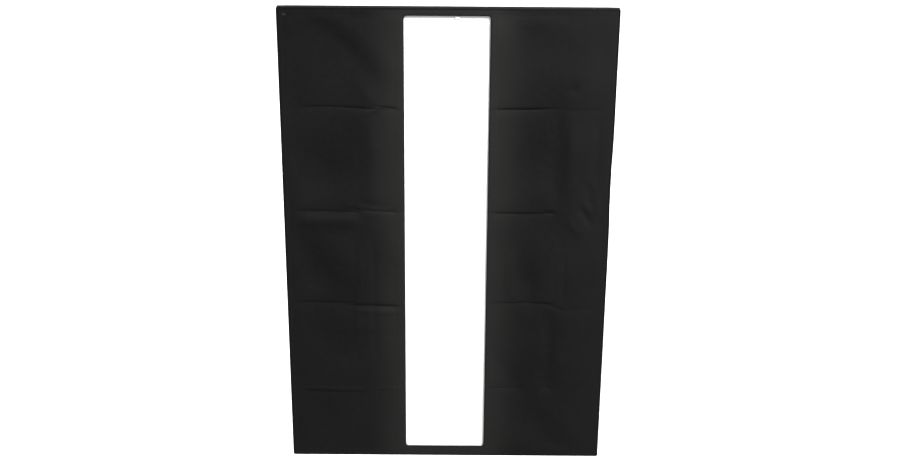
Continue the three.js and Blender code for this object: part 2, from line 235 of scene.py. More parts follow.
def shell_black():
    return woven("shell_black", (0.012, 0.012, 0.0125), 0.55, 0.9 * MM, specular=0.35, sheen=0.03).material


def lip_black():
    """The dull cloth of the band round the face."""
    return woven("lip_black", (0.0032, 0.0032, 0.0033), 0.8, 0.9 * MM, specular=0.08).material


def silver_lining():
    finish = woven("silver_lining", (0.62, 0.63, 0.64), 0.34, 1.1 * MM, specular=0.5, strength=0.5)
    finish.set("Metallic", 0.85)
    return finish.material


def diffusion_white():
    color = (0.93, 0.93, 0.925)
    return woven("diffusion_white", color, 0.75, 0.45 * MM, specular=0.2, variation=0.02).material


def ribbon_pale():
    return woven("ribbon_pale", (0.60, 0.60, 0.60), 0.7, 0.6 * MM, specular=0.2, variation=0.05).material


def webbing_black():
    """Ribbed tape with its ribs across the cloth's first direction."""
    finish = Finish("webbing_black", (0.012, 0.012, 0.012), 0.7, specular=0.3)
    cloth = finish.place(on_cloth=True)
    split = finish.add("ShaderNodeSeparateXYZ", Vector=cloth)
    ribs = finish.wave(split.outputs[0], 1.4 * MM)
    fuzz = finish.noise(cloth, 1800.0, 2.0)
    finish.link(finish.shade(fuzz, 0.7, 1.5), "Base Color")
    finish.bump(finish.math("ADD", ribs, fuzz), 0.5, 0.3 * MM)
    return finish.material


def hook_tape():
    """Fuzzy hook and loop tape."""
    finish = Finish("hook_tape", (0.010, 0.010, 0.010), 0.95, specular=0.15)
    finish.set("Sheen Weight", 0.15)
    place = finish.place(on_cloth=False)
    hooks = finish.add("ShaderNodeTexVoronoi", Vector=place, Scale=900.0)
    finish.link(finish.shade(hooks.outputs["Distance"], 0.5, 2.0), "Base Color")
    finish.bump(hooks.outputs["Distance"], 0.9, 0.6 * MM)
    return finish.material


def cast_black():
    """Cast and blackened aluminium with a fine grain and brighter rubbed patches."""
    finish = Finish("cast_black", (0.030, 0.031, 0.034), 0.45, metallic=0.75)
    place = finish.place(on_cloth=False)
    grain = finish.noise(place, 1400.0, 3.0)
    wear = finish.noise(place, 38.0, 6.0)
    finish.worn(wear, 0.6, 1.7, 0.36, 0.58)
    finish.bump(grain, 0.25, 0.15 * MM)
    return finish.material


def plated_steel():
    finish = Finish("plated_steel", (0.60, 0.61, 0.62), 0.28, metallic=1.0)
    place = finish.place(on_cloth=False)
    scratches = finish.noise(finish.stretched(place, (150, 2500, 150)), 1.0, 4.0)
    blotches = finish.noise(place, 90.0, 4.0)
    finish.link(finish.shade(blotches, 0.82, 1.1), "Base Color")
    finish.link(finish.spread(scratches, 0.18, 0.42), "Roughness")
    finish.bump(scratches, 0.12, 0.05 * MM)
    return finish.material


def threaded_steel():
    """Plated steel with a screw thread cut along X."""
    finish = Finish("threaded_steel", (0.55, 0.56, 0.57), 0.3, metallic=1.0)
    split = finish.add("ShaderNodeSeparateXYZ", Vector=finish.place(on_cloth=False))
    thread = finish.wave(split.outputs[0], 1.25 * MM)
    grease = finish.noise(finish.place(on_cloth=False), 220.0, 3.0)
    finish.worn(grease, 0.6, 1.1, 0.22, 0.45)
    finish.bump(thread, 0.8, 0.5 * MM)
    return finish.material


def brass():
    finish = Finish("brass", (0.55, 0.38, 0.14), 0.32, metallic=1.0)
    place = finish.place(on_cloth=False)
    tarnish = finish.noise(place, 260.0, 4.0)
    finish.worn(tarnish, 0.6, 1.1, 0.22, 0.5)
    return finish.material


def rod_fibre():
    """Pale glass fibre with long streaks in it."""
    finish = Finish("rod_fibre", (0.62, 0.60, 0.54), 0.38, specular=0.5)
    place = finish.place(on_cloth=False)
    streaks = finish.noise(finish.stretched(place, (900, 60, 900)), 1.0, 3.0)
    finish.worn(streaks, 0.78, 1.12, 0.3, 0.5)
    finish.bump(streaks, 0.15, 0.1 * MM)
    finish.set("Subsurface Weight", 0.1)
    finish.set("Subsurface Radius", (0.004, 0.004, 0.003))
    return finish.material


def black_plastic():
    """Spark-textured moulded plastic."""
    finish = Finish("black_plastic", (0.014, 0.014, 0.015), 0.42, specular=0.45)
    place = finish.place(on_cloth=False)
    texture = finish.noise(place, 2600.0, 2.0)
    marks = finish.noise(place, 120.0, 5.0)
    finish.worn(marks, 0.75, 1.5, 0.34, 0.52)
    finish.bump(texture, 0.3, 0.12 * MM)
    return finish.material


def twisted(finish, low, high):
    """Sewing thread whose brightness varies from low to high along its twist."""
    twist = finish.noise(finish.place(on_cloth=False), 3000.0, 1.0)
    finish.link(finish.shade(twist, low, high), "Base Color")
    finish.bump(twist, 0.4, 0.1 * MM)
    return finish.material


def thread_black():
    return twisted(Finish("thread_black", (0.010, 0.010, 0.010), 0.6, specular=0.2), 0.6, 1.6)


def thread_white():
    return twisted(Finish("thread_white", (0.82, 0.82, 0.80), 0.55, specular=0.3), 0.85, 1.05)


def floor_white():
    finish = Finish("floor_white", (0.86, 0.86, 0.86), 0.8, specular=0.1)
    tone = finish.noise(finish.place(on_cloth=True), 0.7, 3.0)
    finish.link(finish.shade(tone, 0.98, 1.02), "Base Color")
    return finish.material


MASK_BLACK = mask_black()
SHELL_BLACK = shell_black()
LIP_BLACK = lip_black()
SILVER_LINING = silver_lining()
DIFFUSION_WHITE = diffusion_white()
RIBBON_PALE = ribbon_pale()
WEBBING_BLACK = webbing_black()
HOOK_TAPE = hook_tape()
CAST_BLACK = cast_black()
PLATED_STEEL = plated_steel()
THREADED_STEEL = threaded_steel()
BRASS = brass()
ROD_FIBRE = rod_fibre()
BLACK_PLASTIC = black_plastic()
THREAD_BLACK = thread_black()
THREAD_WHITE = thread_white()


# Mesh makers

def make_object(name, vertices, faces, material, uvs=None):
    """A smooth mesh object. uvs holds one flat place in metres for each vertex."""
    mesh = bpy.data.meshes.new(name)
    points = np.asarray(vertices).reshape(-1, 3).tolist()
    mesh.from_pydata(points, [], [list(map(int, face)) for face in faces])
    mesh.polygons.foreach_set("use_smooth", [True] * len(mesh.polygons))
    if uvs is not None:
        layer = mesh.uv_layers.new(name="cloth")
        corners = np.empty(len(mesh.loops), dtype=np.int32)
        mesh.loops.foreach_get("vertex_index", corners)
        layer.data.foreach_set("uv", np.asarray(uvs).reshape(-1, 2)[corners].ravel())
    mesh.materials.append(material)
    mesh.update()
    obj = bpy.data.objects.new(name, mesh)
    bpy.context.scene.collection.objects.link(obj)
    return obj


def grid_faces(rows, columns, keep=None, around=False):
    """Quads over rows of points, optionally joined round the columns, with some left out."""
    across = columns if around else columns - 1
    row, column = np.meshgrid(np.arange(rows - 1), np.arange(across), indexing="ij")
    after = (column + 1) % columns
    quads = np.stack([
        row * columns + column,
        row * columns + after,
        (row + 1) * columns + after,
        (row + 1) * columns + column,
    ], axis=-1)
    return quads[keep] if keep is not None else quads.reshape(-1, 4)


def without_loose(vertices, faces, *extras):
    """Drops vertices that no face uses."""
    used = np.unique(faces)
    place = np.full(len(vertices), -1)
    place[used] = np.arange(len(used))
    return (vertices[used], place[faces], *[extra[used] for extra in extras])


def thicken(obj, thickness, offset=-1.0):
    """Gives a sheet its cloth's thickness behind its face."""
    solid = obj.modifiers.new("thickness", "SOLIDIFY")
    solid.thickness = thickness
    solid.offset = offset
    solid.use_even_offset = False
    return obj


def set_attribute(obj, name, values):
    layer = obj.data.attributes.new(name, "FLOAT", "POINT")
    layer.data.foreach_set("value", np.asarray(values, dtype=np.float32))


def walk(points):
    """How far along a line each of its points is."""
    return np.concatenate([[0], np.cumsum(np.linalg.norm(np.diff(points, axis=0), axis=1))])


def flat_places(along, across):
    """One flat place for each point of a grid, from its rows' and columns' distances."""
    return np.stack(np.broadcast_arrays(along[:, None], across[None, :]), axis=-1)


def closed(line):
    """A line of points with its first point repeated at its end."""
    return np.concatenate([line, line[:1]])


def facing_forward(seam):
    """A line of points with outward directions towards the front."""
    return seam, np.tile(FORWARD, (len(seam), 1))


def rounded_loop(half, radius, step=4 * MM, centre=(0.0, 0.0)):
    """Points and outward directions round a rectangle with rounded corners, in X and Z."""
    pivots = np.array(CORNERS) * (half - radius)
    points, outward = [], []
    for number, pivot in enumerate(pivots):
        start = number * math.pi / 2
        for angle in np.linspace(start, start + math.pi / 2, 7):
            direction = np.array([math.cos(angle), math.sin(angle)])
            points.append(pivot + radius * direction)
            outward.append(direction)
        side_start = points[-1]
        side_end = pivots[(number + 1) % 4] + radius * direction
        count = max(1, int(np.linalg.norm(side_end - side_start) / step))
        for share in np.linspace(0, 1, count + 1)[1:-1]:
            points.append(side_start + share * (side_end - side_start))
            outward.append(direction)
    return np.array(points) + np.array(centre), np.array(outward)


def with_rounded_corners(x, z, half, radius):
    """Pulls a rectangular grid's corner points in onto its rounded corners."""
    from_x = np.abs(x) - (half[0] - radius)
    from_z = np.abs(z) - (half[1] - radius)
    in_corner = (from_x > 0) & (from_z > 0)
    reach = np.maximum(np.hypot(from_x, from_z), 1e-9)
    shrink = np.where(in_corner, np.maximum(from_x, from_z) / reach, 1.0)
    new_x = np.where(in_corner, np.sign(x) * (half[0] - radius + from_x * shrink), x)
    new_z = np.where(in_corner, np.sign(z) * (half[1] - radius + from_z * shrink), z)
    return new_x, new_z


def sweep_points(points, outward, depths, section):
    """Places of a section, listed as outward and Y, along a line in X and Z with its depths."""
    vertices = np.empty((len(points), len(section), 3))
    vertices[..., 0] = points[:, None, 0] + outward[:, None, 0] * section[None, :, 0]
    vertices[..., 1] = depths[:, None] + section[None, :, 1]
    vertices[..., 2] = points[:, None, 1] + outward[:, None, 1] * section[None, :, 0]
    return vertices.reshape(-1, 3)


def loop_sweep(name, half, radius, section, material):
    """A section, listed as outward and Y, swept round a rounded rectangle."""
    points, outward = rounded_loop(half, radius, 6 * MM)
    points[:, 0] += edge_dent(points[:, 0], points[:, 1])
    section = np.asarray(section)
    vertices = sweep_points(points, outward, np.zeros(len(points)), section)
    faces = grid_faces(len(points) + 1, len(section), around=True) % len(vertices)
    return make_object(name, vertices, faces, material, flat_places(walk(points), walk(section)))


def directions(points):
    """The unit direction of a line at each of its points."""
    ahead = np.gradient(points, axis=0)
    return ahead / np.linalg.norm(ahead, axis=1)[:, None]


def tube(name, points, radius, material, sides=10):
    """A round cord along a line of points, with closed ends."""
    forward = directions(points)
    side = np.cross(forward, [0.0, 1.0, 0.3])
    side /= np.linalg.norm(side, axis=1)[:, None]
    up = np.cross(side, forward)
    angles = np.linspace(0, 2 * math.pi, sides, endpoint=False)
    round_off = (np.cos(angles)[None, :, None] * side[:, None]
                 + np.sin(angles)[None, :, None] * up[:, None])
    vertices = points[:, None] + radius * round_off
    lengths = np.linspace(0, walk(points)[-1], len(points))
    faces = grid_faces(len(points), sides, around=True).tolist()
    faces.append(range(sides)[::-1])
    faces.append(range(sides * (len(points) - 1), sides * len(points)))
    return make_object(name, vertices, faces, material, flat_places(lengths, radius * angles))


def read_along(values, walked, distances):
    """Values given along a line, read off at other distances."""
    return np.stack([np.interp(distances, walked, values[:, axis]) for axis in range(3)], axis=-1)


def stitches(name, lines, material, length=3.0 * MM, gap=0.9 * MM, width=0.45 * MM):
    """Short threads end to end along lines of points, each line with its outward directions."""
    vertices, faces = [], []
    # each thread has a point at either end and four round its middle
    ring = [1, 2, 3, 4]
    pattern = np.array([[0, first, then] for first, then in zip(ring, ring[1:] + ring[:1])]
                       + [[5, then, first] for first, then in zip(ring, ring[1:] + ring[:1])])
    for points, normals in lines:
        walked = walk(points)
        starts = np.arange(0.5 * gap, walked[-1] - length, length + gap)
        head = read_along(points, walked, starts)
        middle = read_along(points, walked, starts + length / 2)
        tail = read_along(points, walked, starts + length)
        outward = read_along(normals, walked, starts + length / 2)
        side = np.cross(tail - head, outward)
        side *= width / 2 / np.linalg.norm(side, axis=1)[:, None]
        lift = outward * width
        block = [head, middle + side, middle + lift * 0.9, middle - side, middle - lift * 0.2, tail]
        base = sum(len(placed) for placed in vertices) + 6 * np.arange(len(starts))
        faces.append((base[:, None, None] + pattern[None]).reshape(-1, 3))
        vertices.append(np.stack(block, axis=1).reshape(-1, 3))
    return make_object(name, np.concatenate(vertices), np.concatenate(faces), material)


# The strip mask: a face of cloth with a tall window in it

def bell(value, width):
    """One at zero, falling smoothly to nothing past the width."""
    return np.exp(-(value / width) ** 2)


def crease(value, width):
    """One at zero, with a sharp bend there and straight sides."""
    return np.exp(-np.sqrt(value ** 2 + (0.35 * width) ** 2) / width)


def tuck(value, width):
    """One at zero, steep on its upper side and long on its lower side."""
    return np.where(value > 0, np.exp(-np.abs(value) / width), np.exp(-np.abs(value) / (4.5 * width)))


def drape(value, width):
    """One at zero, with a rounded steep upper side and a long soft lower side."""
    return np.where(value > 0, bell(value, width), bell(value, 3.2 * width))


def rise(value, low, high):
    """Nothing below low, one above high, smooth between them."""
    share = np.clip((value - low) / (high - low), 0, 1)
    return share * share * (3 - 2 * share)


class Fold:
    """A fold or wrinkle along a line on the face: a ridge if its height is positive, a groove if not.

    All its measures are given in millimetres. Its ends fade out over the last one.
    """

    def __init__(self, start, end, height, width, shape=bell, sway=0, fade=30):
        self.start = np.array(start) * MM
        self.end = np.array(end) * MM
        self.height = height * MM
        self.width = width * MM
        self.shape = shape
        self.sway = sway * MM
        self.fade = fade * MM

    def relief(self, x, z):
        span = self.end - self.start
        length = np.hypot(*span)
        forward = span / length
        along = (x - self.start[0]) * forward[0] + (z - self.start[1]) * forward[1]
        across = (z - self.start[1]) * forward[0] - (x - self.start[0]) * forward[1]
        across = across - self.sway * np.sin(along / length * 2 * math.pi)
        ends = rise(along, -self.fade, self.fade) * rise(length - along, -self.fade, self.fade)
        return self.height * self.shape(across, self.width) * ends


# The four levels at which the mask was folded away
CREASE_LEVELS = [0.356, 0.092, -0.160, -0.400]

# The creases at those levels from the top down, then the wrinkles between them
FOLDS = [
    Fold((-340, 358), (-165, 355), -3.4, 2.6, tuck, 1),
    Fold((-285, 357), (-215, 356), -2.4, 2.6, crease, 0.6),
    Fold((-175, 362), (-105, 352), -3, 3, tuck, 0.6),
    Fold((-190, 344), (-150, 362), 2.2, 6, fade=20),
    Fold((110, 354), (240, 356), -3.4, 2.6, tuck, 0.8),
    Fold((180, 355), (240, 356), -1.8, 2.6, crease),
    Fold((240, 356), (385, 352), -1, 3.6, crease),
    Fold((-360, 68), (-220, 66), 5.6, 18, fade=20),
    Fold((-368, 92), (-212, 90), -3, 4, tuck, 0.6, fade=12),
    Fold((-255, 108), (-220, 108), 1.6, 2.5, fade=5),
    Fold((-240, 96), (-105, 89), -3.6, 4.5, crease, 1),
    Fold((-205, 112), (-150, 106), -2.4, 9, fade=20),
    Fold((105, 89), (255, 88), -3.4, 3.2, tuck, 0.8),
    Fold((240, 92), (262, 90), -2.8, 5, fade=6),
    Fold((-380, -155), (-230, -157), -3.8, 4, tuck, 0.6),
    Fold((-240, -164), (-105, -166), -4.4, 4, tuck, 0.6),
    Fold((-220, -180), (-120, -182), 2, 7),
    Fold((85, -154), (165, -155), -1.6, 2.6, tuck, 0.8),
    Fold((165, -154), (260, -156), -3.4, 3, tuck, 0.4),
    Fold((250, -157), (300, -178), -3, 4.5, crease, fade=20),
    Fold((300, -172), (370, -168), -1.4, 4, crease),
    Fold((-365, -398), (-215, -400), 3.2, 3, crease),
    Fold((-365, -409), (-215, -411), -2.2, 6),
    Fold((-215, -401), (-105, -399), 1.8, 3, crease),
    Fold((100, -398), (190, -398), -1.8, 3.4, crease, 0.8),
    Fold((195, -398), (385, -395), -0.8, 3.6, crease),
    Fold((262, -388), (276, -388), 2, 2.5, fade=4),
    # broad diagonal pulls at the upper left and the lower right
    Fold((-305, 550), (-172, 412), -11, 36, drape, fade=55),
    Fold((-240, 455), (-180, 370), 2, 16, fade=40),
    Fold((135, -320), (220, -450), -3.6, 22, fade=80),
    Fold((215, -470), (310, -575), -9.5, 36, fade=70),
    # upright soft folds
    Fold((262, 340), (266, 130), -4.6, 17, bell, 3, fade=50),
    Fold((300, 330), (302, 130), 3.4, 16, fade=50),
    Fold((292, -30), (294, -150), -2.4, 5, fade=20),
    Fold((259, -185), (261, -400), -5.4, 15, bell, 1, fade=20),
    Fold((206, -75), (212, -165), -6.6, 21, fade=40),
    Fold((158, -20), (166, -150), 3, 14, fade=30),
    Fold((-185, 10), (-178, -320), -2, 8, bell, 3, fade=60),
    Fold((-215, -10), (-222, -280), 1.8, 8, bell, 2, fade=60),
    Fold((-185, 310), (-175, 110), 3.4, 20, bell, 4, fade=60),
    # soft hollows
    Fold((-350, 280), (-300, 150), -7, 60, fade=50),
    Fold((-345, 10), (-315, -100), -5.5, 44, fade=40),
    Fold((-320, -230), (-270, -320), -5, 46, fade=40),
    # short dents
    Fold((326, 105), (352, 62), -4, 9, fade=20),
    Fold((352, 112), (345, 160), -4, 8, bell, 2, fade=20),
    Fold((366, 90), (372, 130), 2.6, 7, fade=20),
    Fold((300, 70), (330, 30), 2.4, 10, fade=30),
    Fold((302, 415), (300, 395), -3.4, 10, fade=15),
    Fold((366, 180), (362, 340), -2.6, 14, fade=50),
    Fold((-352, -118), (-335, -118), 2.4, 3, fade=10),
    Fold((-280, -248), (-110, -246), -1.2, 4, crease, 1),
]


def beyond_pivots(x, z):
    """How far past the window's corner pivots a place is, in X and in Z."""
    beyond_x = np.abs(x - WINDOW_CENTRE[0]) - (WINDOW_HALF[0] - WINDOW_CORNER)
    beyond_z = np.abs(z - WINDOW_CENTRE[1]) - (WINDOW_HALF[1] - WINDOW_CORNER)
    return beyond_x, beyond_z


def window_distance(x, z):
    """How far a place is outside the window's edge; negative inside it."""
    beyond_x, beyond_z = beyond_pivots(x, z)
    outside = np.hypot(np.maximum(beyond_x, 0), np.maximum(beyond_z, 0))
    return outside + np.minimum(np.maximum(beyond_x, beyond_z), 0) - WINDOW_CORNER


def border_distance(x, z):
    """How far a place is inside the mask's outer edge."""
    return np.minimum(MASK_HALF[0] - np.abs(x), MASK_HALF[1] - np.abs(z))


def mask_relief(x, z):
    """How far the mask's face stands in front of its flat place."""
    billow = (1.1 * MM * np.sin(9.0 * x + 2.0 * np.sin(5.0 * z))
              + 0.9 * MM * np.sin(13.0 * z + 3.0 * x + 0.8)
              + 1.0 * MM * np.sin(38.0 * x + 9.0 * z + 2.0 * np.sin(11.0 * z))
              + 0.9 * MM * np.sin(41.0 * z - 13.0 * x + 1.7 * np.sin(23.0 * x)))
    folds = sum(fold.relief(x, z) for fold in FOLDS)
    free = rise(border_distance(x, z), 6 * MM, 40 * MM)
    tight = 0.25 + 0.75 * rise(window_distance(x, z), 2 * MM, 34 * MM)
    depth = np.maximum(-(billow + folds), 0)
    shallow = MASK_DEPTH * np.tanh(depth / MASK_DEPTH)
    relief = (np.maximum(billow + folds, 0) - shallow) * free * tight
    hem = 0.3 * MM * rise(-window_distance(x, z), -HEM_SIDE - 0.8 * MM, -HEM_SIDE + 0.8 * MM)
    hem_edge = -1.2 * MM * bell(window_distance(x, z), 2.2 * MM)
    border = 0.35 * MM * rise(-border_distance(x, z), -OUTER_HEM - 0.7 * MM, -OUTER_HEM + 0.7 * MM)
    rolled = -1.3 * MM * (1 - rise(border_distance(x, z), 0, 2.6 * MM)) ** 2
    return relief + hem + hem_edge + border + rolled


def lines_between(stops):
    """Grid lines through each stop, spaced no wider than the step that follows it."""
    lines = []
    for (start, step), (end, _) in zip(stops, stops[1:]):
        count = max(1, math.ceil((end - start) / step - 1e-6))
        lines.extend(np.linspace(start, end, count, endpoint=False))
    lines.append(stops[-1][0])
    return np.array(lines)


def mask_lines(axis, fine_places):
    """Grid lines along one axis: fine at the borders, at the window's edges and at the sharp folds."""
    edge = MASK_HALF[axis]
    low, high = WINDOW_LOW[axis], WINDOW_HIGH[axis]
    spans = [(-edge, -edge + 14 * MM, 1.2 * MM), (edge - 14 * MM, edge, 1.2 * MM)]
    for place, sign in ((low, -1), (high, 1)):
        for reach in (-sign * WINDOW_CORNER, sign * 4 * MM):
            near, far = sorted((place, place + reach))
            spans.append((near, far, 1.0 * MM))
        near, far = sorted((place + sign * (HEM_SIDE - 3 * MM), place + sign * (HEM_SIDE + 3 * MM)))
        spans.append((near, far, 1.0 * MM))
    spans.extend((place - 13 * MM, place + 13 * MM, 1.5 * MM) for place in fine_places)
    ends = [value for near, far, _ in spans for value in (near, far)]
    stops = sorted({round(value, 6) for value in ends if abs(value) <= edge})
    stepped = []
    for start, end in zip(stops, stops[1:]):
        middle = (start + end) / 2
        inside = [step for near, far, step in spans if near <= middle <= far]
        stepped.append((start, min(inside, default=4.5 * MM)))
    stepped.append((stops[-1], None))
    return lines_between(stepped)


def mask_grid():
    return np.meshgrid(mask_lines(0, []), mask_lines(1, CREASE_LEVELS))


def on_cut(keep):
    """Which grid points touch both kept and dropped squares."""
    padded = np.pad(keep, 1, mode="edge")
    around = [padded[:-1, :-1], padded[:-1, 1:], padded[1:, :-1], padded[1:, 1:]]
    return np.any(around, axis=0) & ~np.all(around, axis=0)


def snap_to_window(x, z, keep):
    """Moves the grid points along the window's round corners onto them."""
    beyond_x, beyond_z = beyond_pivots(x, z)
    rounded = (beyond_x > 0) & (beyond_z > 0) & on_cut(keep)
    grow = WINDOW_CORNER / np.maximum(np.hypot(beyond_x, beyond_z), 1e-6) - 1
    shift_x = np.sign(x - WINDOW_CENTRE[0]) * beyond_x * grow
    shift_z = np.sign(z - WINDOW_CENTRE[1]) * beyond_z * grow
    return np.where(rounded, x + shift_x, x), np.where(rounded, z + shift_z, z)


def edge_dent(x, z):
    """The slight pull inwards of the right edge, above the middle."""
    return -3.2 * MM * bell(z - 0.160, 0.075) * rise(x, 0.30, MASK_HALF[0])


def strip_mask():
    """The mask's cloth, cut open at the window, with the hem's olive tint under a painted glow near the
    window, painted light on its sides and painted shade along its edges.
    """
    x, z = mask_grid()
    middle_x = (x[:-1, :-1] + x[1:, 1:]) / 2
    middle_z = (z[:-1, :-1] + z[1:, 1:]) / 2
    keep = window_distance(middle_x, middle_z) > 0
    x, z = snap_to_window(x, z, keep)
    relief = mask_relief(x, z)
    # How strongly the cloth takes the hem's olive tint and the painted glow, fading out 0.13 m from the
    # window.
    hem = (1 - rise(window_distance(x, z), 0.0, 0.13)) ** 1.6
    # Painted shade in the last few millimetres at the outer edge and, a little weaker, at the window's
    # edge.
    edge = 1 - rise(border_distance(x, z), 1.8 * MM, 4.2 * MM)
    edge = np.maximum(edge, 0.75 * (1 - rise(window_distance(x, z), 1.0 * MM, 3.0 * MM)))
    # Painted light on the outer sides: full on the right, a little on the left.
    outer = rise(x, 0.26, MASK_HALF[0]) + 0.15 * rise(-x, 0.26, MASK_HALF[0])
    outer_x, outer_z = with_rounded_corners(x, z, MASK_HALF, FACE_CORNER)
    vertices = np.stack([outer_x + edge_dent(x, z), MASK_Y - relief, outer_z], axis=-1).reshape(-1, 3)
    uvs = np.stack([x, z], axis=-1).reshape(-1, 2)
    faces = grid_faces(*x.shape, keep=keep)
    extras = [values.ravel() for values in (hem, edge, outer)]
    vertices, faces, uvs, hem, edge, outer = without_loose(vertices, faces, uvs, *extras)
    mask = make_object("mask_cloth", vertices, faces, MASK_BLACK, uvs)
    set_attribute(mask, "hem", hem)
    set_attribute(mask, "edge", edge)
    set_attribute(mask, "outer", outer)
    thicken(mask, MASK_CLOTH)
    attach(mask, "mask_layer")
    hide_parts("strip_mask", "window_hem")
    return mask


def mask_threads():
    """Seams along the window's hem and the outer hem."""
    loops = [
        rounded_loop(WINDOW_HALF + HEM_SIDE - 2.5 * MM, 3 * MM, centre=WINDOW_CENTRE),
        rounded_loop(WINDOW_HALF + 2.5 * MM, WINDOW_CORNER, centre=WINDOW_CENTRE),
        rounded_loop(MASK_HALF - OUTER_HEM + 1.2 * MM, 3 * MM),
    ]
    lines = []
    for points, _ in loops:
        x, z = closed(points).T
        seam = np.stack([x + edge_dent(x, z), MASK_Y - mask_relief(x, z), z], axis=-1)
        lines.append(facing_forward(seam))
    threads = stitches("mask_threads", lines, THREAD_BLACK)
    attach(threads, "mask_layer")
    return threads


def bartack():
    """Pale thread that reinforces the hem's upper left corner."""
    start = np.array([-0.385, 0.587])
    lines = []
    for number in range(3):
        z = start[1] - 3.4 * MM * number
        x = np.array([start[0], start[0] + 11 * MM])
        slant = np.array([z, z - 1.6 * MM])
        seam = np.stack([x, MASK_Y - mask_relief(x, slant) - 0.1 * MM, slant], axis=-1)
        lines.append(facing_forward(seam))
    threads = stitches("mask_bartack", lines, THREAD_WHITE, 2.2 * MM, 2.4 * MM, 0.22 * MM)
    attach(threads, "mask_layer")
    return threads


def pull_tab():
    """A ribbon folded into a loop, sewn behind the window's upper edge."""
    low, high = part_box("pull_tab")
    rear_y = high.y - 0.2 * MM
    radius = (rear_y - low.y) / 2
    shares = np.linspace(0, 1, 15)
    heights = high.z - shares * (high.z - low.z)
    rear = np.stack([rear_y - 0.3 * MM * np.sin(shares * math.pi), heights], axis=-1)
    turn = np.linspace(0, math.pi, 9)[1:-1]
    fold = np.stack([low.y + radius * (1 + np.cos(turn)), low.z - radius * np.sin(turn)], axis=-1)
    front = np.stack([np.full(len(shares), low.y), heights[::-1]], axis=-1)
    line = np.concatenate([rear, fold, front])
    columns = np.linspace(low.x, high.x, 7)
    vertices = np.empty((len(line), len(columns), 3))
    vertices[..., 0] = columns[None, :]
    vertices[..., 1:] = line[:, None, :]
    uvs = flat_places(walk(line), columns - low.x)
    faces = grid_faces(len(line), len(columns))
    tab = make_object("pull_tab_loop", vertices, faces, RIBBON_PALE, uvs)
    thicken(tab, 0.4 * MM, offset=0.0)
    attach(tab, "mask_layer")
    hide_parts("pull_tab")
    return tab


# White layers behind the mask

def flat_cloth(name, half, y_front, relief, material, step=8 * MM, radius=6 * MM):
    """A rectangle of cloth across the light, facing -Y, with rounded corners."""
    count = [max(2, int(2 * side / step) + 1) for side in half]
    x, z = np.meshgrid(*[np.linspace(-side, side, number) for side, number in zip(half, count)])
    outer_x, outer_z = with_rounded_corners(x, z, half, radius)
    vertices = np.stack([outer_x, y_front - relief(x, z), outer_z], axis=-1)
    return make_object(name, vertices, grid_faces(*x.shape), material, np.stack([x, z], axis=-1))


def diffuser_relief(x, z):
    """The diffuser's doubled hem, its slack, and its push forwards behind the window."""
    inside = np.minimum(DIFFUSER_HALF[0] - np.abs(x), DIFFUSER_HALF[1] - np.abs(z))
    double = 0.4 * MM * (1 - rise(inside, DIFFUSER_HEM - 1 * MM, DIFFUSER_HEM + 1 * MM))
    waves = 0.5 * MM * np.sin(17 * x + 2 * np.sin(6 * z)) * np.sin(5.3 * z + 0.4)
    near_window = rise(-window_distance(x, z), -34 * MM, -6 * MM)
    forward = 8.5 * MM * near_window * rise(inside, 0, 14 * MM)
    return double + waves * rise(inside, 0, 0.12) + forward


def front_diffuser():
    cloth = flat_cloth("diffuser_cloth", DIFFUSER_HALF, DIFFUSER_FACE_Y, diffuser_relief, DIFFUSION_WHITE)
    thicken(cloth, 0.5 * MM)
    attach(cloth, "diffuser_layer")
    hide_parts("front_diffuser")
    x, z = closed(rounded_loop(DIFFUSER_HALF - DIFFUSER_HEM + 2 * MM, 4 * MM)[0]).T
    seam = np.stack([x, DIFFUSER_FACE_Y - diffuser_relief(x, z), z], axis=-1)
    threads = stitches("diffuser_threads", [facing_forward(seam)], THREAD_WHITE)
    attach(threads, "diffuser_layer")
    return cloth, threads


def baffle_relief(x, z):
    """Slack between the four straps that hold the baffle."""
    pull = np.cos(np.clip(z / BAFFLE_HALF[1], -1, 1) * math.pi / 2)
    return (1.6 * MM * np.sin(11 * x + 1.3) * np.sin(8 * z)
            + 1.2 * MM * np.sin(23 * x - 9 * z) * pull)


def inner_baffle():
    cloth = flat_cloth("baffle_cloth", BAFFLE_HALF, BAFFLE_FACE_Y, baffle_relief, DIFFUSION_WHITE,
                       radius=BAFFLE_CORNER)
    thicken(cloth, 0.5 * MM)
    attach(cloth, "baffle_layer")
    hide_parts("inner_baffle")
    points, outward = map(closed, rounded_loop(BAFFLE_HALF, BAFFLE_CORNER))
    depths = BAFFLE_FACE_Y - baffle_relief(points[:, 0], points[:, 1])
    binding = edge_binding("baffle_binding", points, outward, depths, 9 * MM, DIFFUSION_WHITE)
    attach(binding, "baffle_layer")
    inner = points - outward * 7 * MM
    seam = np.stack([inner[:, 0], depths - 0.9 * MM, inner[:, 1]], axis=-1)
    threads = stitches("baffle_threads", [facing_forward(seam)], THREAD_WHITE)
    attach(threads, "baffle_layer")
    return cloth, [binding, threads]


def edge_binding(name, points, outward, depths, width, material):
    """A folded tape over a cloth's edge that follows a line of points with their depth."""
    section = np.array([[-width, -0.7], [-0.4 * width, -0.9], [0.3 * MM, -0.7], [0.8 * MM, 0.2],
                        [0.3 * MM, 1.2], [-0.4 * width, 1.4], [-width, 1.2]])
    section[:, 1] *= MM
    vertices = sweep_points(points, outward, depths, section)
    uvs = flat_places(walk(points), np.linspace(0, 2 * width, len(section)))
    faces = grid_faces(len(points), len(section), around=True)
    return make_object(name, vertices, faces, material, uvs)


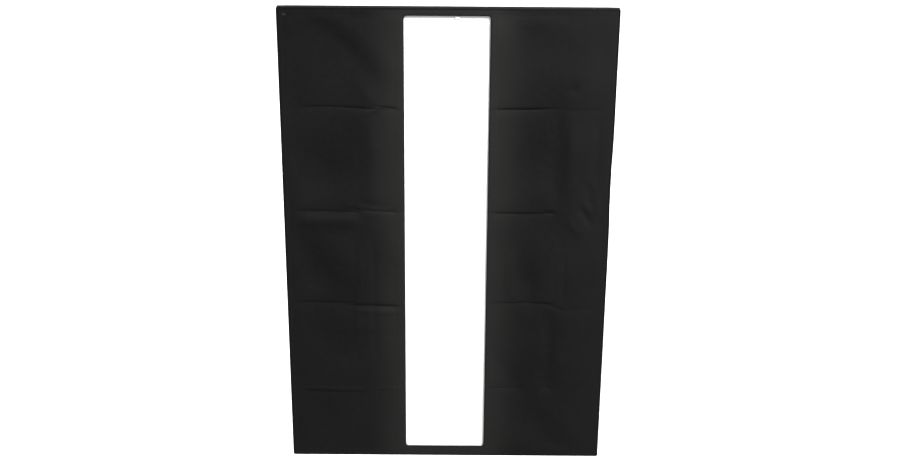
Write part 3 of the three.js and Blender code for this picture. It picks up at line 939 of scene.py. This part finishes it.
def webbing_strip(name, node, body):
    """A short woven band in a CAD node's place, running along X."""
    low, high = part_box(node)
    lengths = np.linspace(low.x, high.x, 18)
    widths = np.linspace(low.z, high.z, 7)
    x, z = np.meshgrid(lengths, widths, indexing="ij")
    y = np.full(x.shape, (low.y + high.y) / 2)
    vertices = np.stack([x, y, z], axis=-1)
    uvs = flat_places(lengths - low.x, widths - low.z)
    strip = make_object(name, vertices, grid_faces(*x.shape), WEBBING_BLACK, uvs)
    thicken(strip, 0.55 * (high.y - low.y), offset=0.0)
    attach(strip, body)
    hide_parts(node)
    return strip


# The shell

def corner_curve(share):
    """The shell's seam in the corner with X and Z positive, from the ring at 0 to the face at 1."""
    share = np.asarray(share)[..., None]
    start, bow, end = (np.array(point) for point in (SHELL_REAR, SHELL_BOW, SHELL_FRONT))
    return (1 - share) ** 2 * start + 2 * share * (1 - share) * bow + share ** 2 * end


def panel_turn(side):
    """How many quarters a side's panel is turned from the top one."""
    return SIDES.index(side)


def turned(points, quarter):
    """Turns points about Y, clockwise seen from the front, by quarters."""
    x, y, z = points[..., 0], points[..., 1], points[..., 2]
    for _ in range(quarter):
        x, z = z, -x
    return np.stack([x, y, z], axis=-1)


def panel_points(side, inset):
    """Rows of points over one panel, from ring to face, that many metres inside its outer surface.

    The panel sags between its corner seams, with pleats at the ring, pulls at the lip and soft ripples.
    """
    quarter = panel_turn(side)
    wide = quarter % 2 == 1
    shares = np.linspace(0, 1, 64)
    curve = corner_curve(shares)
    half = curve[:, 2] if wide else curve[:, 0]
    out = curve[:, 0] if wide else curve[:, 2]
    columns = 90 if wide else 64
    spread = np.linspace(-1, 1, columns)
    t = shares[:, None]
    u = spread[None, :]
    tension = np.sin(np.pi * t) * (1 - u ** 2)
    sag = 9 * MM * tension
    pleats = 1.6 * MM * np.cos(u * 22) * np.exp(-t / 0.14) * rise(t, 0.045, 0.10)
    pulls = 1.6 * MM * np.cos(u * 34 + 5 * t) * np.exp(-(1 - t) / 0.12) * rise(1 - t, 0.0, 0.06)
    ripples = (1.8 * MM * np.sin(7 * u + 9 * t) + 1.3 * MM * np.sin(19 * t - 5 * u + 2 * np.sin(3 * u))
               + 0.9 * MM * np.sin(16 * u * (1.2 - t) + 6 * t)) * tension
    seam = 1.0 * MM * (1 - rise(1 - np.abs(u), 0.0, 0.05))
    height = out[:, None] - sag - (pleats + pulls + ripples) * (1 - u ** 8) - seam - inset
    x = (half[:, None] - inset) * u
    y = np.broadcast_to(curve[:, 1][:, None], x.shape)
    points = np.stack([x, y, height], axis=-1)
    return turned(points, quarter)


def panel_uvs(points):
    """Flat places: along each row from its middle, and along the panel's middle line."""
    middle = points[:, points.shape[1] // 2]
    down = walk(middle)
    across = np.linalg.norm(points - middle[:, None], axis=-1)
    across[:, : points.shape[1] // 2] *= -1
    return np.stack([across, np.broadcast_to(down[:, None], across.shape)], axis=-1)


def shell_sheet(name, side, inset, material):
    points = panel_points(side, inset)
    faces = grid_faces(*points.shape[:2])[:, ::-1]
    cloth = make_object(name, points, faces, material, panel_uvs(points))
    thicken(cloth, SHELL_CLOTH)
    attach(cloth, "frame")
    return cloth


def shell():
    """Four outer panels, four panels of lining, and the piping and tape that join them."""
    for side in SIDES:
        shell_sheet(f"shell_cloth_{side}", side, 0.0, SHELL_BLACK)
        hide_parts(f"shell_{side}")
        lining = shell_sheet(f"shell_lining_{side}", side, 1.0 * MM, SILVER_LINING)
    trims = [corner_piping(number, corner) for number, corner in enumerate(CORNERS, 1)]
    trims += [rear_binding(), shell_threads()]


def corner_piping(number, corner):
    """A cord along a corner seam, sunk a little deeper towards the face."""
    points = corner_curve(np.linspace(0.0, 1.0, 60)) * np.array([corner[0], 1, corner[1]])
    points = points - np.array([corner[0], 0, corner[1]]) * np.linspace(0.6, 2.6, 60)[:, None] * MM
    piping = tube(f"corner_piping_{number}", points, 2.0 * MM, WEBBING_BLACK)
    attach(piping, "frame")
    return piping


def shell_threads():
    """Two lines of stitching along each edge of the four panels."""
    lines = []
    for side in SIDES:
        points = panel_points(side, -0.15 * MM)
        normal = turned(np.array([0.0, 0.45, 0.9]), panel_turn(side))
        for inward in (1, 2):
            for column in (inward, -1 - inward):
                row = points[2:-1, column]
                lines.append((row, np.tile(normal, (len(row), 1))))
    threads = stitches("shell_threads", lines, THREAD_BLACK, 4.2 * MM, 1.3 * MM, 0.7 * MM)
    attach(threads, "frame")
    return threads


def rear_binding():
    """Webbing sewn round the shell's square rear opening."""
    half = np.array([SHELL_REAR.x, SHELL_REAR.z])
    section = [(-1.8 * MM, SHELL_REAR.y + 1.0 * MM), (0.3 * MM, SHELL_REAR.y + 1.2 * MM),
               (1.2 * MM, SHELL_REAR.y), (11.5 * MM, SHELL_REAR.y - 12 * MM),
               (10.7 * MM, SHELL_REAR.y - 12.4 * MM), (0.2 * MM, SHELL_REAR.y - 1.5 * MM)]
    binding = loop_sweep("rear_binding", half, 2 * MM, section, WEBBING_BLACK)
    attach(binding, "frame")
    return binding


def front_lip():
    """The stiff cloth band round the face, with a rolled front edge, and its seams."""
    wall = 2 * MM
    y_front, y_rear = LIP_LOW.y, LIP_HIGH.y
    section = [(-wall, y_rear), (-wall, y_front + 1 * MM), (-wall / 2, y_front + 0.1 * MM),
               (-0.2 * MM, y_front + 0.6 * MM), (0, y_front + 2 * MM), (-0.3 * MM, y_front + 8 * MM),
               (0, y_rear - 1 * MM), (-0.4 * MM, y_rear)]
    lip = loop_sweep("front_lip_cloth", FACE_HALF, FACE_CORNER, section, LIP_BLACK)
    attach(lip, "frame")
    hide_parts("front_lip")
    points, outward = map(closed, rounded_loop(FACE_HALF, FACE_CORNER))
    points[:, 0] += edge_dent(points[:, 0], points[:, 1])
    normals = np.insert(outward, 1, 0.0, axis=1)
    lines = [(np.insert(points, 1, y_front + depth, axis=1), normals) for depth in (4 * MM, 14 * MM)]
    threads = stitches("lip_threads", lines, THREAD_BLACK)
    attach(threads, "frame")
    return lip


def tape_band(node, body, wall=1.2 * MM):
    """Hook or loop tape round the face in its CAD node's place, with a fuzzy, uneven section."""
    fuzz = 0.25 * MM
    low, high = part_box(node)
    half = np.array([high.x, high.z])
    edges = np.linspace(low.y, high.y, 6)
    outer = [(fuzz * (i % 2) - fuzz, y) for i, y in enumerate(edges)]
    inner = [(-wall - fuzz * (i % 2) + fuzz, y) for i, y in enumerate(edges)][::-1]
    tape = loop_sweep(node.replace("_tape", "_strip"), half, 3 * MM, outer + inner, HOOK_TAPE)
    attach(tape, body)
    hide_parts(node)
    return tape


def corner_pocket(number, corner):
    """A triangle of webbing that holds a rod's tip, padded over it."""
    low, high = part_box(f"corner_pocket_{number}")
    leg = high.x - low.x
    point_x = corner[0] * max(abs(low.x), abs(high.x))
    point_z = corner[1] * max(abs(low.z), abs(high.z))
    steps = 12
    cells = [(i, j) for i in range(steps + 1) for j in range(steps + 1 - i)]
    index = {cell: place for place, cell in enumerate(cells)}
    vertices, faces, uvs = [], [], []
    for i, j in cells:
        a, b = i / steps, j / steps
        swell = 0.4 * MM * math.sin(math.pi * min(1, a + b)) * math.sin(math.pi * (1 - abs(a - b)))
        y = low.y + 0.4 * MM - swell
        vertices.append((point_x - corner[0] * leg * a, y, point_z - corner[1] * leg * b))
        uvs.append((leg * a, leg * b))
        if i + j < steps:
            faces.append([index[i, j], index[i + 1, j], index[i, j + 1]])
        if i + j < steps - 1:
            faces.append([index[i + 1, j], index[i + 1, j + 1], index[i, j + 1]])
    if corner[0] * corner[1] < 0:
        faces = [face[::-1] for face in faces]
    pocket = make_object(f"rod_pocket_{number}", vertices, faces, WEBBING_BLACK, uvs)
    thicken(pocket, 0.9 * MM)
    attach(pocket, "frame")
    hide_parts(f"corner_pocket_{number}")


def rear_flap(side):
    """A flap of shell cloth behind the shell. The right one is notched where the lock knob stands."""
    quarter = panel_turn(side)
    low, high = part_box(f"rear_flap_{side}")
    half = (high.z - low.z) / 2 if quarter % 2 else (high.x - low.x) / 2
    start_y, end_y = SHELL_REAR.y + 0.5 * MM, high.y
    start_z, end_z = SHELL_REAR.z - 1.5 * MM, SHELL_REAR.z - 5.9 * MM
    along, x = np.meshgrid(np.linspace(0, 1, 15), np.linspace(-half, half, 61), indexing="ij")
    wave = 0.35 * MM * np.sin(x * 60) * along
    y = start_y + along * (end_y - start_y)
    z = start_z + along * (end_z - start_z) + wave
    points = np.stack([x, y, z], axis=-1)
    notched = (np.abs(x[:-1, :-1] + x[:-1, 1:]) / 2 < NOTCH_HALF) & (y[:-1, :-1] > NOTCH_Y)
    keep = ~notched if side == "right" else np.ones_like(notched)
    uvs = np.stack([x, along * FLAP_LENGTH], axis=-1).reshape(-1, 2)
    faces = grid_faces(*x.shape, keep=keep)[:, ::-1]
    vertices = turned(points, quarter).reshape(-1, 3)
    vertices, faces, uvs = without_loose(vertices, faces, uvs)
    flap = make_object(f"rear_flap_cloth_{side}", vertices, faces, SHELL_BLACK, uvs)
    thicken(flap, 0.9 * MM)
    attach(flap, f"flap_{side}")
    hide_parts(f"rear_flap_{side}")
    threads = stitches(f"rear_flap_threads_{side}", flap_seams(points, side), THREAD_BLACK)
    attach(threads, f"flap_{side}")


def flap_seams(points, side):
    """Lines of stitching just inside a flap's edges, broken at the right one's notch."""
    lifted = points + np.array([0, 0, 0.1 * MM])
    ends = [lifted[2:-1, 2], lifted[2:-1, -3]]
    middle = points.shape[1] // 2
    clear = 8
    outer = [lifted[-2, 2:-2]]
    if side == "right":
        outer = [lifted[-2, 2:middle - clear], lifted[-2, middle + clear + 1:-2]]
    quarter = panel_turn(side)
    normal = turned(np.array([0.0, 0.0, 1.0]), quarter)
    return [(turned(row, quarter), np.tile(normal, (len(row), 1))) for row in outer + ends]


# Hard parts keep their CAD shape

def refine(node, material, bevel=0.0, angle=38):
    """Puts a material on a CAD node, softens its edges and shades its round faces smoothly."""
    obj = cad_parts[node]
    obj.data.materials.clear()
    obj.data.materials.append(material)
    obj.data.shade_smooth()
    obj.data.set_sharp_from_angle(angle=math.radians(angle))
    if bevel:
        rounded = obj.modifiers.new("edges", "BEVEL")
        rounded.width = bevel
        rounded.segments = 2
        rounded.limit_method = "ANGLE"
        rounded.angle_limit = math.radians(angle)
        rounded.harden_normals = True
    return obj


def hard_parts():
    refine("bayonet_insert", CAST_BLACK, 0.5 * MM)
    refine("speedring", CAST_BLACK)
    refine("retaining_ring", CAST_BLACK, 0.4 * MM)
    refine("lock_screw", THREADED_STEEL, 0.3 * MM)
    refine("lock_knob", BLACK_PLASTIC, 0.5 * MM)
    refine("lock_pad", BRASS, 0.2 * MM)
    for number in range(1, 5):
        refine(f"retaining_screw_{number}", PLATED_STEEL, 0.25 * MM)
        refine(f"rod_socket_{number}", PLATED_STEEL, 0.4 * MM)
        refine(f"rod_{number}", ROD_FIBRE, angle=60)
        refine(f"rod_tip_{number}", BLACK_PLASTIC, 0.4 * MM)
        refine(f"baffle_snap_{number}", PLATED_STEEL, 0.5 * MM)


# Floor, light and camera

def studio():
    """A pale floor, a white world that brightens upwards, a key light and a light behind."""
    places = np.array([(-1, -1), (1, -1), (1, 1), (-1, 1)]) * FLOOR_REACH
    floor = make_object("floor", [(x, y, FLOOR_Z) for x, y in places], [(0, 1, 2, 3)], floor_white(),
                        places + FLOOR_REACH)
    world = bpy.data.worlds.new("studio")
    bpy.context.scene.world = world
    world.use_nodes = True
    nodes, links = world.node_tree.nodes, world.node_tree.links
    background = nodes["Background"]
    background.inputs["Color"].default_value = (1, 1, 1, 1)
    direction = nodes.new("ShaderNodeTexCoord")
    split = nodes.new("ShaderNodeSeparateXYZ")
    glow = nodes.new("ShaderNodeMapRange")
    links.new(direction.outputs["Generated"], split.inputs[0])
    links.new(split.outputs["Z"], glow.inputs["Value"])
    glow.inputs["To Min"].default_value = 0.40
    glow.inputs["To Max"].default_value = 0.95
    links.new(glow.outputs[0], background.inputs["Strength"])
    area_light("key", (1.0, -1.7, 2.6), (0.0, MASK_Y, 0.0), power=36, size=0.8, spread=60)
    area_light("background", (0.0, 5.2, 4.4), (0.0, 5.2, 0.0), power=640, size=9.0, spread=110)
    bpy.context.scene.view_settings.view_transform = "Standard"


def area_light(name, place, target, power, size, spread):
    lamp = bpy.data.lights.new(name, "AREA")
    lamp.energy = power
    lamp.size = size
    lamp.spread = math.radians(spread)
    obj = bpy.data.objects.new(name, lamp)
    obj.location = place
    obj.rotation_euler = (Vector(target) - Vector(place)).to_track_quat("-Z", "Y").to_euler()
    bpy.context.scene.collection.objects.link(obj)


def camera():
    """Slightly above the face and square to it, looking down."""
    lens = bpy.data.cameras.new("camera")
    lens.lens = 58.676
    lens.sensor_width = 36
    obj = bpy.data.objects.new("camera", lens)
    turn = Matrix.Rotation(math.radians(-0.007), 4, "Z")
    tilt = Matrix.Rotation(math.radians(90 - 22.955), 4, "X")
    roll = Matrix.Rotation(math.radians(0.398), 4, "Z")
    obj.matrix_world = Matrix.Translation((0.0063, -3.7779, 1.4368)) @ turn @ tilt @ roll
    bpy.context.scene.collection.objects.link(obj)
    bpy.context.scene.camera = obj


# Assembly

mask = strip_mask()
mask_trims = [mask_threads(), bartack(), pull_tab(), tape_band("mask_hook_tape", "mask_layer")]
float(4 * MASK_HALF.prod() - (WINDOW_HIGH - WINDOW_LOW).prod())

diffuser, diffuser_seams = front_diffuser()
diffuser_tape = tape_band("diffuser_hook_tape", "diffuser_layer")

baffle, baffle_trims = inner_baffle()
for number in range(1, 5):
    elastic = webbing_strip(f"baffle_elastic_{number}", f"baffle_strap_{number}", "baffle_layer")
    baffle_trims.append(elastic)

for number, corner in enumerate(CORNERS, 1):
    webbing_strip(f"baffle_anchor_{number}", f"baffle_tab_{number}", "frame")
    corner_pocket(number, corner)

shell()
front_lip()
tape_band("lip_loop_tape", "frame", wall=1.0 * MM)
for side in SIDES:
    rear_flap(side)
hard_parts()
studio()
camera()
